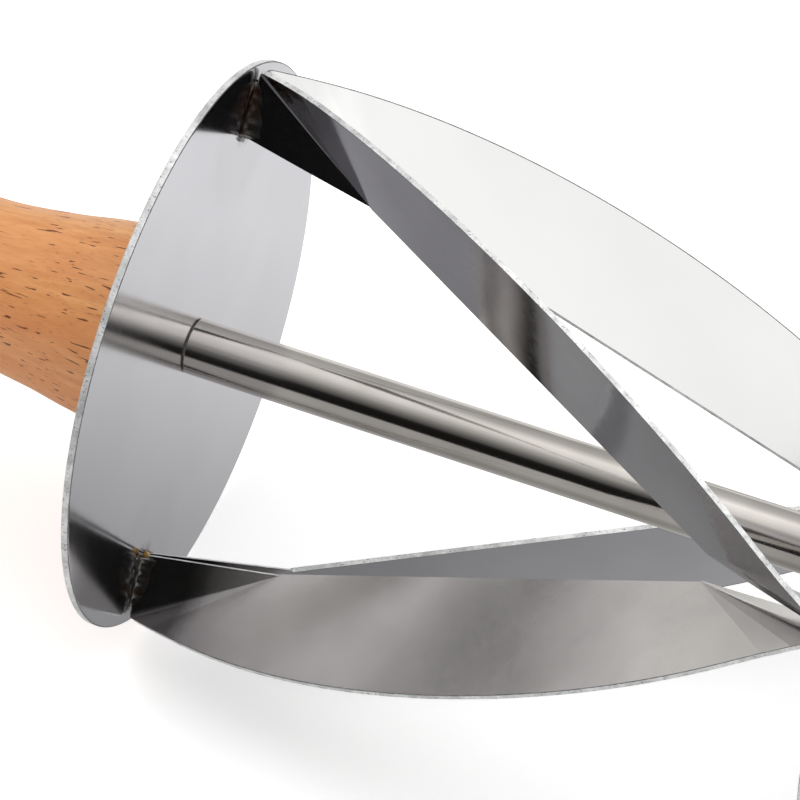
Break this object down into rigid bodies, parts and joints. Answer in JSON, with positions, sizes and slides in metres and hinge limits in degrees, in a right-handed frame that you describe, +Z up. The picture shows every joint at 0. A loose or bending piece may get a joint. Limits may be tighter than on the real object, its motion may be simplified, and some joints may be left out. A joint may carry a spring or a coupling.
{
  "type": "rolling croissant cutter",
  "caption": "Hand roller for cutting dough triangles: slanted edge-on steel blades between round discs, spinning on a rod between two turned wooden handles.",
  "frame": {"origin": "middle of the drum on the axle, which is the centre of the whole part", "axes": "+X along the axle towards the right handle, +Z up"},
  "size_m": [0.34, 0.092, 0.092],
  "materials": {
    "disc_steel": "smooth stainless sheet, close to a mirror",
    "blade_steel": "rolled stainless sheet, satin",
    "tube_steel": "drawn stainless tube, brushed lengthwise",
    "weld_metal": "weld bead with brown heat tint",
    "rod_steel": "bright drawn bar",
    "bush_nylon": "natural nylon",
    "fastener_steel": "zinc-plated",
    "handle_beech": "sanded beech, thin clear lacquer"
  },
  "bodies": {
    "root": {"axle_rod": "rod_steel", "shoulder_washer_left": "fastener_steel", "shoulder_washer_right": "fastener_steel", "handle_left": "handle_beech", "handle_right": "handle_beech", "end_washer_left": "fastener_steel", "end_washer_right": "fastener_steel", "end_nut_left": "fastener_steel", "end_nut_right": "fastener_steel"},
    "drum": {"disc_left": "disc_steel", "disc_right": "disc_steel", "blade_1": "blade_steel", "blade_2": "blade_steel", "blade_3": "blade_steel", "blade_4": "blade_steel", "weld_1_left": "weld_metal", "weld_1_right": "weld_metal", "weld_2_left": "weld_metal", "weld_2_right": "weld_metal", "weld_3_left": "weld_metal", "weld_3_right": "weld_metal", "weld_4_left": "weld_metal", "weld_4_right": "weld_metal", "centre_tube": "tube_steel", "bush_left": "bush_nylon", "bush_right": "bush_nylon"}
  },
  "joints": [
    {"name": "drum_spin", "type": "hinge", "parent": "root", "child": "drum", "pos_m": [0, 0, 0], "axis": [1, 0, 0], "continuous": true}
  ]
}
